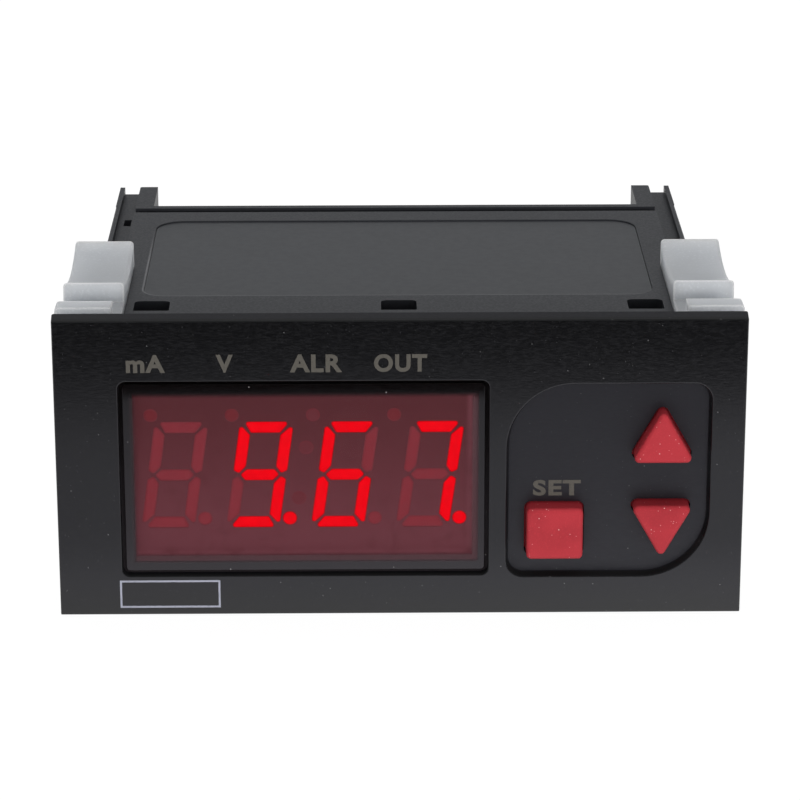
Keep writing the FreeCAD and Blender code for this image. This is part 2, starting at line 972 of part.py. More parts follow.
def make_components():
    """The parts that stand on the main board."""
    top = d.main_board_top
    core = on_board("core_block", (-27.0, -11.0), (24.0, 36.0), 13.0)
    windows = [
        on_board("core_window_left", (-24.6, -21.4), (23.0, 37.0), 10.6),
        on_board("core_window_right", (-16.6, -13.4), (23.0, 37.0), 10.6),
    ]
    keep(cut("transformer_core", core, windows), "transformer_core")
    winding = box("winding", (-24.4, -13.6), (21.2, 38.8), (top + 0.4, top + 10.4))
    middle = on_board("middle_leg", (-21.4, -16.6), (24.0, 36.0), 12.0)
    keep(cut("transformer_coil", winding, [middle]), "transformer_coil")

    for name, left in (("alarm_relay", 4.0), ("output_relay", 17.0)):
        case = on_board(f"{name}_case", (left, left + 10.2), (33.5, 52.5), 14.8)
        base = on_board(f"{name}_base", (left + 0.3, left + 9.9), (33.2, 52.8), 1.6)
        keep(fuse(name, [case, base]), name)

    keep(cylinder("input_capacitor", "z", 5.0, -4.4, 30.0, top, 15.0), "input_capacitor")
    keep(cylinder("output_capacitor", "z", 4.0, 8.0, 26.0, top, 11.5), "output_capacitor")
    keep(on_board("film_capacitor", (-28.0, -15.0), (44.0, 50.0), 11.0), "film_capacitor")
    keep(cylinder("surge_varistor", "y", 4.5, -8.2, 46.0, top + 4.5, 4.0), "surge_varistor")
    keep(cylinder("input_fuse", "z", 4.2, -5.0, 40.0, top, 8.0), "input_fuse")

    chip = on_board("chip_case", (-22.0, -12.0), (13.0, 20.0), 2.2)
    notch = cylinder("chip_notch", "z", 0.6, -21.2, 16.5, top + 1.9, 1.0)
    keep(cut("microcontroller", chip, [notch]), "microcontroller")
    places = {"converter": (12.5, 17.0), "isolator": (19.5, 17.0), "rectifier": (19.0, 26.0)}
    chips = []
    for name, (x, y) in places.items():
        chips.append(on_board(f"{name}_chip", (x, x + 6.4), (y - 4.5, y + 4.0), 3.4))
    keep(group("small_chips", chips), "small_chips")


# terminals at the rear


def terminal_places():
    for i in range(TERMINAL_COUNT):
        yield d.terminal_pitch * (i - (TERMINAL_COUNT - 1) / 2)


def terminal_voids(i, x):
    """Everything that one way of the terminal block is hollow for."""
    gap = d.leg_gap
    wide = d.cavity_half_width
    wire = d.wire_half_width
    bar = d.bar_half_width + gap
    leg = d.leg_half_width + gap
    bar_top = d.bar_bottom + d.bar_thickness
    return [
        box(
            f"cavity_{i}",
            (x - wide, x + wide),
            (d.cavity_front, d.cavity_back),
            (d.cavity_bottom, d.cavity_top),
        ),
        cylinder(f"well_{i}", "z", d.well_radius, x, d.screw_y, d.well_floor, d.block_top - d.well_floor),
        cylinder(
            f"shank_{i}", "z", d.shank_hole_radius, x, d.screw_y, d.cavity_top, d.well_floor - d.cavity_top
        ),
        box(f"entry_{i}", (x - wire, x + wire), (d.cavity_back, d.block_back), (d.wire_bottom, d.wire_top)),
        box(
            f"bar_slot_{i}",
            (x - bar, x + bar),
            (d.bar_front - gap, d.cavity_front),
            (d.bar_bottom - gap, bar_top + gap),
        ),
        box(
            f"leg_slot_{i}",
            (x - leg, x + leg),
            (d.bar_front - gap, d.bar_front + d.leg_depth + gap),
            (d.main_board_top, d.bar_bottom),
        ),
    ]


def make_terminals():
    half = d.block_half_width
    block = box("block", (-half, half), (d.block_front, d.block_back), (d.main_board_top, d.block_top))
    voids = []
    contacts = []
    for i, x in enumerate(terminal_places(), 1):
        voids += terminal_voids(i, x)
        contacts.append(make_contact(i, x))
        make_screw(i, x)
        make_clamp(i, x)
    keep(cut("terminal_block", block, voids), "terminal_block")
    keep(group("terminal_contacts", contacts), "terminal_contacts")


def make_contact(i, x):
    """A fixed bar that the wire is clamped against, with its leg through the board."""
    bar = d.bar_half_width
    leg = d.leg_half_width
    bar_top = d.bar_bottom + d.bar_thickness
    flat = box(f"bar_{i}", (x - bar, x + bar), (d.bar_front, d.bar_back), (d.bar_bottom, bar_top))
    down = box(
        f"leg_{i}", (x - leg, x + leg), (d.bar_front, d.bar_front + d.leg_depth), (d.leg_end, d.bar_bottom)
    )
    return fuse(f"contact_{i}", [flat, down])


def make_screw(i, x):
    head_height = d.screw_head_top - d.screw_head_bottom
    shank_length = d.screw_head_bottom - d.screw_end
    slot = d.screw_slot_width / 2
    reach = d.screw_head_radius + 0.2
    head = cylinder(f"head_{i}", "z", d.screw_head_radius, x, d.screw_y, d.screw_head_bottom, head_height)
    shank = cylinder(f"stud_{i}", "z", d.screw_radius, x, d.screw_y, d.screw_end, shank_length)
    groove = box(
        f"slot_{i}",
        (x - reach, x + reach),
        (d.screw_y - slot, d.screw_y + slot),
        (d.screw_head_top - d.screw_slot_depth, d.screw_head_top + 0.2),
    )
    label = f"terminal_screw_{i:02d}"
    keep(cut(label, fuse(f"screw_blank_{i}", [head, shank]), [groove]), label)


def make_clamp(i, x):
    """A wire cage that the screw draws up."""
    wide = d.clamp_half_width
    deep = d.clamp_half_depth
    inner = wide - d.clamp_wall
    blank = box(
        f"cage_{i}",
        (x - wide, x + wide),
        (d.screw_y - deep, d.screw_y + deep),
        (d.clamp_bottom, d.clamp_top),
    )
    window = box(
        f"window_{i}",
        (x - inner, x + inner),
        (d.screw_y - deep - 0.5, d.screw_y + deep + 0.5),
        (d.clamp_bottom + d.clamp_floor, d.clamp_top - d.clamp_roof),
    )
    bore = cylinder(
        f"clamp_bore_{i}",
        "z",
        d.clamp_bore_radius,
        x,
        d.screw_y,
        d.clamp_top - d.clamp_roof - 0.1,
        d.clamp_roof + 0.2,
    )
    label = f"terminal_clamp_{i:02d}"
    keep(cut(label, blank, [window, bore]), label)


# housing and label


def make_housing():
    body = new_body("housing")
    wide = d.housing_half_width
    high = d.housing_half_height
    corner = [d.outer_corner] * 4
    sleeve = sketch_on(body, "XZ_Plane", -d.housing_front)
    rounded_rectangle(sleeve, -wide, wide, -high, high, corner)
    pad(body, sleeve, d.housing_back - d.housing_front, away=True)
    hollow = sketch_on(body, "XZ_Plane", -d.housing_front)
    inner = wide - d.wall_side
    ceiling = high - d.wall_top
    rectangle(hollow, -inner, inner, -ceiling, ceiling)
    pocket(body, hollow, d.housing_back - d.housing_front - d.wall_back)

    towers = sketch_on(body, "XZ_Plane", -d.housing_back)
    cheeks = sketch_on(body, "XZ_Plane", -d.housing_back)
    for side in SIDES.values():
        near, far = sorted((d.cheek_inner * side, wide * side), key=lambda value: value.number)
        rectangle(towers, near, far, -high, high)
        near, far = sorted((d.cheek_inner * side, d.cheek_outer * side), key=lambda value: value.number)
        rectangle(cheeks, near, far, -high, high)
    pad(body, towers, d.tower_back - d.housing_back, away=True)
    pad(body, cheeks, d.cheek_back - d.housing_back, away=True)
    floor = sketch_on(body, "XZ_Plane", -d.housing_back)
    rectangle(floor, -d.cheek_inner, d.cheek_inner, -high, -ceiling)
    pad(body, floor, d.tower_back - d.housing_back, away=True)

    tower_slots = sketch_on(body, "XZ_Plane", -d.cheek_back)
    for side in SIDES.values():
        ends = (d.cheek_outer * side, d.tower_slot_outer * side)
        near, far = sorted(ends, key=lambda value: value.number)
        rectangle(tower_slots, near, far, -d.tower_slot_half_height, d.tower_slot_half_height)
    pocket(body, tower_slots, d.cheek_back - d.housing_back, away=True)

    channels = sketch_on(body, "XZ_Plane", -d.housing_front)
    for side in SIDES.values():
        ends = (d.channel_inner * side, d.channel_outer * side)
        near, far = sorted(ends, key=lambda value: value.number)
        rectangle(channels, near, far, high - d.channel_depth, high + 1.0)
        rectangle(channels, near, far, -high - 1.0, d.channel_depth - high)
    pocket(body, channels, d.cheek_back - d.housing_front + 1.0)

    groove = sketch_on(body, "XY_Plane", high)
    rectangle(groove, -d.channel_inner, d.channel_inner, d.groove_front, d.groove_back)
    pocket(body, groove, d.groove_depth)

    slots = sketch_on(body, "XY_Plane", high)
    low_slots = sketch_on(body, "XY_Plane", -high)
    half = d.slot_width / 2
    radii = [d.slot_front_corner] * 2 + [d.slot_back_corner] * 2
    for step in (-1, 0, 1):
        x = d.slot_pitch * step
        for sketch in (slots, low_slots):
            rounded_rectangle(sketch, x - half, x + half, d.slot_front, d.slot_back, radii)
    pocket(body, slots, d.wall_top)
    pocket(body, low_slots, d.wall_top, away=True)

    recess = sketch_on(body, "XY_Plane", high)
    label_outline(recess, 0.0)
    pocket(body, recess, d.recess_depth)

    def round_the_recess(edge):
        middle = edge.CenterOfMass
        across = abs(middle.x) < d.recess_half_width.number + 0.1
        along = d.recess_front.number - 0.1 < middle.y < d.recess_back.number + 0.1
        return across and along and edge.BoundBox.ZMin > high.number - 1e-3

    fillet(body, d.recess_edge, round_the_recess)

    bay = sketch_on(body, "XZ_Plane", -d.housing_back)
    rectangle(bay, -d.bay_half_width, d.bay_half_width, d.bay_bottom, d.bay_top)
    half = d.vent_width / 2
    for i in range(VENTS):
        x = d.vent_pitch * (i - (VENTS - 1) / 2)
        rectangle(bay, x - half, x + half, d.vent_z - d.vent_height / 2, d.vent_z + d.vent_height / 2)
    pocket(body, bay, d.wall_back, away=True)

    guides = sketch_on(body, "XZ_Plane", -d.guide_front)
    above = d.main_board_top + d.guide_gap
    below = d.main_board_top - d.board_thickness - d.guide_gap
    for side in SIDES.values():
        near, far = sorted((d.guide_inner * side, inner * side), key=lambda value: value.number)
        rectangle(guides, near, far, above, above + d.guide_thickness)
        rectangle(guides, near, far, below - d.guide_thickness, below)
    pad(body, guides, d.housing_back - d.wall_back - d.guide_front, away=True)

    peep = sketch_on(body, "XY_Plane", high - d.channel_depth)
    rectangle(peep, -d.peep_far, -d.peep_near, d.peep_front, d.peep_back)
    pocket(body, peep, d.wall_top)

    for side in SIDES.values():
        rack = sketch_on(body, "XY_Plane", d.rack_half_height)
        tooth = d.rack_pitch - 0.3
        for i in range(RACK_TEETH):
            start = d.rack_front + d.rack_pitch * i
            points = [
                (wide * side, start),
                (wide * side, start + tooth),
                ((wide - d.rack_depth) * side, start + tooth),
            ]
            outline(rack, points if side > 0 else points[::-1])
        pocket(body, rack, d.rack_half_height * 2)


def label_outline(sketch, gap):
    front = d.recess_front_corner
    back = d.recess_back_corner
    half_width = d.recess_half_width - gap
    rounded_rectangle(
        sketch,
        -half_width,
        half_width,
        d.recess_front + gap,
        d.recess_back - gap,
        [front, front, back, back],
    )


def make_label():
    body = new_body("type_label")
    sketch = sketch_on(body, "XY_Plane", d.housing_half_height - d.recess_depth)
    label_outline(sketch, d.label_gap)
    pad(body, sketch, d.label_thickness)


# mounting clips


def make_clip(name, side):
    body = new_body(f"{name}_clip")
    gap = d.clip_gap
    under = d.housing_half_height + gap
    hook = under - d.clip_hook_depth - gap
    wall = d.housing_half_width + gap
    top = d.clip_top
    upper = [
        (wall, under),
        (d.clip_hook_outer, under),
        (d.clip_hook_outer, hook),
        (d.clip_hook_inner, hook),
        (d.clip_hook_inner, under),
        (d.clip_inner, under),
        (d.clip_inner, top),
        (d.clip_outer, top),
    ]
    lower = [(x, -z) for x, z in reversed(upper)]
    section = [(x * side, z) for x, z in upper + lower]
    frame = sketch_on(body, "XZ_Plane", -d.clip_front)
    outline(frame, section)
    pad(body, frame, d.clip_back - d.clip_front, away=True)

    for level in (1, -1):
        saddle = sketch_on(body, "YZ_Plane", (d.foot_outer + 1.0) * side)
        over = top + 1.0
        points = [
            (d.clip_front - 0.5, d.foot_top * level),
            (d.foot_back, d.foot_top * level),
            (d.foot_back, d.valley_floor * level),
            (d.ridge_foot, d.valley_floor * level),
            (d.ridge_top, top * level),
            (d.clip_back, d.rear_top * level),
            (d.clip_back + 0.5, d.rear_top * level),
            (d.clip_back + 0.5, over * level),
            (d.clip_front - 0.5, over * level),
        ]
        outline(saddle, points, {4: d.saddle_radius * level})
        pocket(body, saddle, d.foot_outer - d.clip_inner + 2.0, away=side < 0)

    def rounded(edge):
        bounds = edge.BoundBox
        flat_in_x = bounds.XLength < 1e-4
        reach = min(abs(bounds.ZMin), abs(bounds.ZMax))
        outside = abs(abs(bounds.XMin) - d.clip_outer.number) < 1e-3
        inside = abs(abs(bounds.XMin) - d.clip_inner.number) < 1e-3
        beyond_foot = bounds.YMin > d.foot_back.number + 1.0
        return flat_in_x and (outside or inside) and beyond_foot and reach > 15.0 and bounds.YLength > 5.5

    fillet(body, d.clip_round, rounded)

    foot = sketch_on(body, "XZ_Plane", -d.clip_front)
    near, far = sorted((d.clip_outer * side, d.foot_outer * side), key=lambda value: value.number)
    rectangle(foot, near, far, -d.foot_top, d.foot_top)
    pad(body, foot, d.foot_back - d.clip_front, away=True)
    fillet(
        body,
        d.clip_round,
        lambda edge: along_y(edge) and abs(abs(edge.CenterOfMass.x) - d.foot_outer.number) < 1e-3,
    )
    trims = sketch_on(body, "XZ_Plane", -d.clip_front)
    near, far = sorted((d.clip_inner * side, d.foot_inner * side), key=lambda value: value.number)
    rectangle(trims, near, far, d.housing_half_height, top)
    rectangle(trims, near, far, -top, -d.housing_half_height)
    pocket(body, trims, d.foot_back - d.clip_front)

    relief = sketch_on(body, "XZ_Plane", -d.clip_front)
    deepest = (wall + d.relief_depth) * side
    near, far = sorted((d.housing_half_width * side, deepest), key=lambda value: value.number)
    rectangle(relief, near, far, -d.relief_half_height, d.relief_half_height)
    pocket(body, relief, d.clip_back - d.clip_front)

    tongue = sketch_on(body, "YZ_Plane", (d.clip_outer + 0.5) * side)
    half = d.tongue_half_height
    outer = half + d.tongue_slot
    points = [
        (d.tongue_front, half),
        (d.tongue_back, half),
        (d.tongue_back, -half),
        (d.tongue_front, -half),
        (d.tongue_front, -outer),
        (d.tongue_back + d.tongue_slot, -outer),
        (d.tongue_back + d.tongue_slot, outer),
        (d.tongue_front, outer),
    ]
    outline(tongue, points)
    pocket(body, tongue, d.clip_outer - d.housing_half_width, away=side < 0)

    pawl = sketch_on(body, "XY_Plane", -half)
    tip = d.housing_half_width + d.pawl_gap
    root = wall + d.relief_depth
    points = [
        (root * side, d.tongue_back - d.pawl_length),
        (tip * side, d.tongue_back - 0.3),
        (tip * side, d.tongue_back),
        (root * side, d.tongue_back),
    ]
    outline(pawl, points)
    pad(body, pawl, half * 2)

    grips = sketch_on(body, "XY_Plane", half)
    for i in range(GRIP_RIBS):
        start = d.tongue_back - d.grip_pitch * (i + 1) + 0.3
        points = [
            ((d.clip_outer + 0.2) * side, start),
            ((d.clip_outer + 0.2) * side, start + d.grip_pitch / 2),
            ((d.clip_outer - d.grip_depth) * side, start + d.grip_pitch / 2),
            ((d.clip_outer - d.grip_depth) * side, start),
        ]
        outline(grips, points)
    pocket(body, grips, half * 2)


def check_and_export():
    """Stop on any failed object, then write one file for each sub-part."""
    doc.recompute()
    for item in doc.Objects:
        if {"Invalid", "Error"} & set(item.State):
            raise RuntimeError(f"{item.Label} failed: {item.State}")
    for item in nodes:
        if item.Shape.isNull() or not item.Shape.isValid():
            raise RuntimeError(f"{item.Label} has no valid shape")
    os.makedirs("parts", exist_ok=True)
    for item in nodes:
        item.Shape.exportStep(f"parts/{item.Label}.step")
        print(f"{item.Label}: {len(item.Shape.Solids)} solids, {item.Shape.Volume:.1f} mm3")


make_bezel()
make_window()
make_keys()
make_switches()
make_display_board()
make_board_pins()
make_header()
make_display()
make_main_board()
make_components()
make_terminals()
make_housing()
make_label()
for clip_name, clip_side in SIDES.items():
    make_clip(clip_name, clip_side)
check_and_export()
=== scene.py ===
"""Digital panel indicator: finishes, printed marks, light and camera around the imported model."""

import json
import math

import bmesh
import bpy
from mathutils import Matrix, Vector


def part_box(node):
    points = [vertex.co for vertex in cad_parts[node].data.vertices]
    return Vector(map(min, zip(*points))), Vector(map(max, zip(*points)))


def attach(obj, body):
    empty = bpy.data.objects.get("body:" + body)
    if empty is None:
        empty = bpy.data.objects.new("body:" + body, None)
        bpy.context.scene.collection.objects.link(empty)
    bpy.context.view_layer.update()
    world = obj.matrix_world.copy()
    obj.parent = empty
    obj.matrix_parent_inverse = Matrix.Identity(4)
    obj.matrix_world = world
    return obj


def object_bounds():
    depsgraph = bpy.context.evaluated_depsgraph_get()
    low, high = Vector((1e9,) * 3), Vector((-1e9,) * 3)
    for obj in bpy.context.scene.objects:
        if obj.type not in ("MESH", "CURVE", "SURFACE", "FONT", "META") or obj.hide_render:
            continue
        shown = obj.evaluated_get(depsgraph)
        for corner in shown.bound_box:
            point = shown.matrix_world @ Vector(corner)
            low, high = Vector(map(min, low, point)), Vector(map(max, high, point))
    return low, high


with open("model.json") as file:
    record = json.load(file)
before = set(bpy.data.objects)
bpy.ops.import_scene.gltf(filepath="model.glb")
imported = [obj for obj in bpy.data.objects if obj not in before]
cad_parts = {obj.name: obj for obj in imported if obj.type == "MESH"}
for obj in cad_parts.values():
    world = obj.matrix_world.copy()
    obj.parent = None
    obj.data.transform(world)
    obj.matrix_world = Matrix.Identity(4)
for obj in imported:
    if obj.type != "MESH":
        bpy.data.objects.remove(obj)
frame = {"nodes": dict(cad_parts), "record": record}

CAD_LOW, CAD_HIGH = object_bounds()
MM = 0.001

# camera of the photograph: pixels, degrees and millimetres, and the clipping range in metres
IMAGE_SIZE = 800.0
FOCAL_LENGTH = 3400.0
SENSOR = 36.0
CAMERA_PITCH = 18.86
CAMERA_YAW = 0.589
CAMERA_ROLL = -0.06
CAMERA_DISTANCE = 376.2
LOOK_AT = (-0.04, -2.5, 8.14)
CLIP_START = 0.01
CLIP_END = 20.0

# front face of the bezel and what is printed on it, in millimetres
FACE_Y = -2.5
RECESS_Y = -1.5
PRINT_THICKNESS = 0.02
LEGEND_BASE = 11.42
LEGEND_HEIGHT = 2.08
LEGENDS = {
    "legend_current": ("mA", -30.25, -25.95),
    "legend_voltage": ("V", -20.35, -18.45),
    "legend_alarm": ("ALR", -12.2, -6.4),
    "legend_output": ("OUT", -2.9, 2.96),
}
SET_LEGEND = ("SET", 14.85, 20.2)
SET_BASE = -3.6
SET_HEIGHT = 1.88
FIELD_LEFT = -31.6
FIELD_RIGHT = -20.3
FIELD_BOTTOM = -16.5
FIELD_TOP = -13.2
FIELD_RULE = 0.22

# lettering before it is fitted to its box
LETTER_SPACE = 1.12
LETTER_BOLDNESS = 0.038
LETTER_DEPTH = 0.01
LETTER_CURVE_STEPS = 5
WELD_DISTANCE = 1e-7

# the room: its light for plain rays, and for gloss from front to back and at the ceiling
WHITE = (1.0, 1.0, 1.0, 1.0)
ROOM_COLOUR = (0.95, 0.97, 1.0, 1.0)
ROOM_LEVEL = 0.26
ROOM_FOR_GLOSS = (0.018, 0.44)
FRONT_TO_BACK = (-0.1, 0.5)
CEILING_FOR_GLOSS = 0.3
CEILING_RISE = (0.15, 0.5)
BACKDROP_TOP = 0.12

# the floor: its paper, the tones that gloss shows from its far edge to the object, and its shadow
FLOOR_HALF_SIZE = 1.5
FLOOR_CELLS = 8
FLOOR_WHITE = (0.8, 0.8, 0.8, 1.0)
FLOOR_ROUGHNESS = 0.9
FLOOR_SPECULAR = 0.1
FLOOR_EDGE = -0.1
FLOOR_DARK = 0.03
FLOOR_GLOSS = ((-0.0805, FLOOR_DARK), (-0.0765, 0.7), (-0.06, 0.74), (-0.026, 0.72), (-0.014, 1.0))
FLOOR_GLOSS_COLOUR = (0.92, 0.915, 1.0)
FLOOR_SIDES = (-0.05, 0.05, 0.85, 1.15)
SHADOW_SHARE = (0.12, 0.12, 0.12, 1.0)
WHITE_BUT_SHADOW = (0.95, 0.95, 0.95, 1.0)

# lamps: place and target in metres, width, depth, watts, and whether gloss shows them
LAMPS = {
    "top_light": ((0.0, 0.08, 0.6), (0.0, 0.02, 0.0), 0.7, 0.5, 1.0, True),
    "front_light": ((0.1, -0.75, 0.16), (0.0, 0.0, 0.0), 0.9, 0.12, 4.5, False),
    "rear_light": ((-0.25, 0.8, 0.3), (0.0, 0.03, 0.0), 0.9, 0.3, 2.2, False),
}

# the middle of a noise texture's range, over which most finishes change
NOISE_LOW = 0.3
NOISE_HIGH = 0.7

# rays that look for the edges of a part
BEVEL_SAMPLES = 6

# roughness of the bezel's face, of its walls and upward edges, and of the key recess, and where that starts
BEZEL_GLOSS = 0.21
BEZEL_MATT = 0.85
RECESS_ROUGHNESS = 0.5
RECESS_START_Y = (-1.8, -1.6)

# the unlit lamps stand above the digits, and the colon between the middle two, in millimetres
LAMP_BOTTOM = 5.15
COLON_X = -10.96
COLON_HALF_WIDTH = 0.9
DIGIT_Z = -1.17
DIGIT_SLANT = 8.0
SEGMENT_FACE = -0.9
SEGMENT_RIM = -0.85

# the lens in millimetres: its clear part, the band where red shows through and red glow is painted, its
# trench and its back
CLEAR_LEFT = -29.7
CLEAR_RIGHT = 7.98
CLEAR_BOTTOM = -10.35
CLEAR_TOP = 8.55
WIDE_BLUR = 0.55
NARROW_BLUR = 0.22
BAND_RIGHT = 8.62
BAND_BOTTOM = -11.15
BAND_COVER = 0.6
TRENCH_Y = (-1.9, -1.8)
LENS_BACK_Y = (-1.1, -1.15)
LENS_HAZE = 0.05
BORDER_COVER = 0.95

# where painted light makes the display face paler, near the lit edges of the lens
PALE_FOOT = (-9.9, -10.7)
PALE_RIGHT = (7.2, 7.9)

# the label recess on top, and the painted highlight along its rim
LABEL_HALF_WIDTH = 29.6
LABEL_FRONT = 17.8
LABEL_CORNER = 2.5
RIM_WIDTH = 0.3
RIM_BACK_FADE = (46.0, 30.0)
RIM_RIGHT_FADE = (29.2, 27.5)


class Nodes:
    """Builds the nodes of a material or of the world."""

    def __init__(self, owner):
        owner.use_nodes = True
        self.tree = owner.node_tree

    def feed(self, node, socket, value):
        """Links an output to a node's socket, or sets the socket to a constant."""
        if isinstance(value, bpy.types.NodeSocket):
            self.tree.links.new(value, node.inputs[socket])
        else:
            node.inputs[socket].default_value = value

    def add(self, kind, inputs=(), **settings):
        """A node with its settings, and some of its sockets linked or set."""
        node = self.tree.nodes.new(f"ShaderNode{kind}")
        for key, value in settings.items():
            setattr(node, key, value)
        for socket, value in dict(inputs).items():
            self.feed(node, socket, value)
        return node

    def math(self, operation, first, second=0.0):
        return self.add("Math", {0: first, 1: second}, operation=operation).outputs["Value"]

    def fold(self, operation, values):
        """Combines values two at a time, such as their product or the largest of them."""
        total = values[0]
        for value in values[1:]:
            total = self.math(operation, total, value)
        return total

    def spread(self, value, low, high, start=0.0, end=1.0, kind="SMOOTHSTEP"):
        """Maps low..high to start..end, smoothly unless told otherwise, and holds the ends."""
        inputs = {"Value": value, "From Min": low, "From Max": high, "To Min": start, "To Max": end}
        return self.add("MapRange", inputs, interpolation_type=kind).outputs["Result"]

    def split(self, vector):
        """The x, y and z of a vector."""
        outputs = self.add("SeparateXYZ", {"Vector": vector}).outputs
        return outputs["X"], outputs["Y"], outputs["Z"]


class Finish(Nodes):
    """A procedural material whose textures are measured in millimetres of the object's frame."""

    def __init__(self, name, colour, roughness, specular=0.5, metallic=0.0):
        self.material = bpy.data.materials.new(name)
        super().__init__(self.material)
        self.shader = self.tree.nodes["Principled BSDF"]
        self.texture = self.add("TexCoord")
        self.colour = None
        self.normal = None
        self.set("Base Color", (*colour, 1.0))
        self.set("Roughness", roughness)
        self.set("Specular IOR Level", specular)
        self.set("Metallic", metallic)

    def set(self, socket, value):
        """Sets or links a socket of the shader."""
        self.feed(self.shader, socket, value)

    def cells(self, size, stretch=(1.0, 1.0, 1.0)):
        """Coordinates that count features of a size in millimetres, longer where stretched."""
        scale = [1 / (size * MM * s) for s in stretch]
        mapping = self.add("Mapping", {"Vector": self.texture.outputs["Object"], "Scale": scale})
        return mapping.outputs["Vector"]

    def noise(self, size, detail=2.0, stretch=(1.0, 1.0, 1.0)):
        inputs = {"Vector": self.cells(size, stretch), "Scale": 1.0, "Detail": detail}
        return self.add("TexNoise", inputs).outputs["Fac"]

    def axes(self):
        """The object's x, y and z in millimetres."""
        return self.split(self.cells(1.0))

    def facing(self):
        """How far a face looks along x, y and z, from -1 to 1."""
        return self.split(self.texture.outputs["Normal"])

    def rounded(self, radius):
        """Normals as if the edges were rounded to a radius in millimetres."""
        return self.add("Bevel", {"Radius": radius * MM}, samples=BEVEL_SAMPLES).outputs["Normal"]

    def edge(self, radius):
        """0 on the flats, rising towards the edges within a radius in millimetres."""
        flat = self.add("NewGeometry").outputs["Normal"]
        agreement = self.add("VectorMath", {0: self.rounded(radius), 1: flat}, operation="DOT_PRODUCT")
        return self.math("SUBTRACT", 1.0, agreement.outputs["Value"])

    def tint(self, colour, share):
        """Mixes another colour over the base colour by a share that varies over the surface."""
        mix = self.add("Mix", data_type="RGBA")
        inputs = {socket.identifier: socket for socket in mix.inputs}
        if self.colour:
            self.tree.links.new(self.colour, inputs["A_Color"])
        else:
            inputs["A_Color"].default_value = self.shader.inputs["Base Color"].default_value
        inputs["B_Color"].default_value = (*colour, 1.0)
        self.tree.links.new(share, inputs["Factor_Float"])
        self.colour = next(s for s in mix.outputs if s.identifier == "Result_Color")
        self.set("Base Color", self.colour)

    def vary_roughness(self, texture, low, high):
        self.set("Roughness", self.spread(texture, NOISE_LOW, NOISE_HIGH, low, high))

    def bump(self, height, depth):
        """Raises the surface by a texture; depth is in millimetres."""
        node = self.add("Bump", {"Strength": 1.0, "Distance": depth * MM, "Height": height})
        if self.normal:
            self.feed(node, "Normal", self.normal)
        self.normal = node.outputs["Normal"]
        self.set("Normal", self.normal)

    def dust(self, colour, radius, spacing, share):
        """Sparse specks: a share of the cells, spacing apart, holds a speck of the radius."""
        texture = self.add("TexVoronoi", {"Vector": self.cells(spacing), "Scale": 1.0})
        lot = self.add("SeparateColor", {"Color": texture.outputs["Color"]}).outputs["Red"]
        chosen = self.math("LESS_THAN", lot, share)
        near = self.spread(texture.outputs["Distance"], radius / spacing, 0.4 * radius / spacing)
        self.tint(colour, self.math("MULTIPLY", chosen, near))


def moulded(name, colour, roughness, specular=0.5, grain=0.25, relief=0.004, cloudy=0.6, soften=0.0):
    """Injection-moulded plastic: eroded-mould grain, cloudy tone and uneven gloss."""
    finish = Finish(name, colour, roughness, specular)
    cloud = finish.noise(size=6.0, detail=3.0)
    fine = finish.noise(grain, detail=3.0)
    darker = [0.72 * c for c in colour]
    paler = [min(1.0, 1.22 * c + 0.002) for c in colour]
    finish.tint(darker, finish.spread(cloud, 0.4, 0.65, end=cloudy))
    finish.tint(paler, finish.spread(fine, 0.5, 0.75, end=0.5))
    finish.vary_roughness(fine, roughness - 0.06, roughness + 0.06)
    if soften:
        finish.normal = finish.rounded(soften)
    finish.bump(fine, relief)
    return finish


def metal(name, colour, roughness, stretch=(1.0, 1.0, 1.0)):
    """Plated or rolled metal: drawn lines and dull patches."""
    finish = Finish(name, colour, roughness, metallic=1.0)
    lines = finish.noise(size=0.15, detail=3.0, stretch=stretch)
    patches = finish.noise(size=1.5, detail=3.0)
    dull = [0.6 * c for c in colour]
    finish.tint(dull, finish.spread(patches, 0.5, 0.72, end=0.6))
    finish.vary_roughness(lines, roughness - 0.1, roughness + 0.14)
    finish.bump(lines, depth=0.003)
    return finish


def banded(name, colour, groove_colour, roughness, pitch):
    """Wound wire or stacked sheet: fine even bands along y."""
    finish = Finish(name, colour, roughness, metallic=1.0)
    inputs = {"Vector": finish.cells(pitch), "Scale": 0.5, "Distortion": 0.4}
    bands = finish.add("TexWave", inputs, bands_direction="Y").outputs["Fac"]
    finish.tint(groove_colour, finish.spread(bands, 0.45, 0.1, end=0.9))
    finish.vary_roughness(finish.noise(size=0.6), roughness - 0.08, roughness + 0.1)
    finish.bump(bands, depth=0.04)
    return finish


def ink(name, colour, worn_colour, roughness):
    """Screen print, a little worn."""
    finish = Finish(name, colour, roughness, specular=0.3)
    finish.tint(worn_colour, finish.spread(finish.noise(size=0.2, detail=3.0), 0.5, 0.75, end=0.6))
    finish.bump(finish.noise(size=0.15), depth=0.003)
    return finish


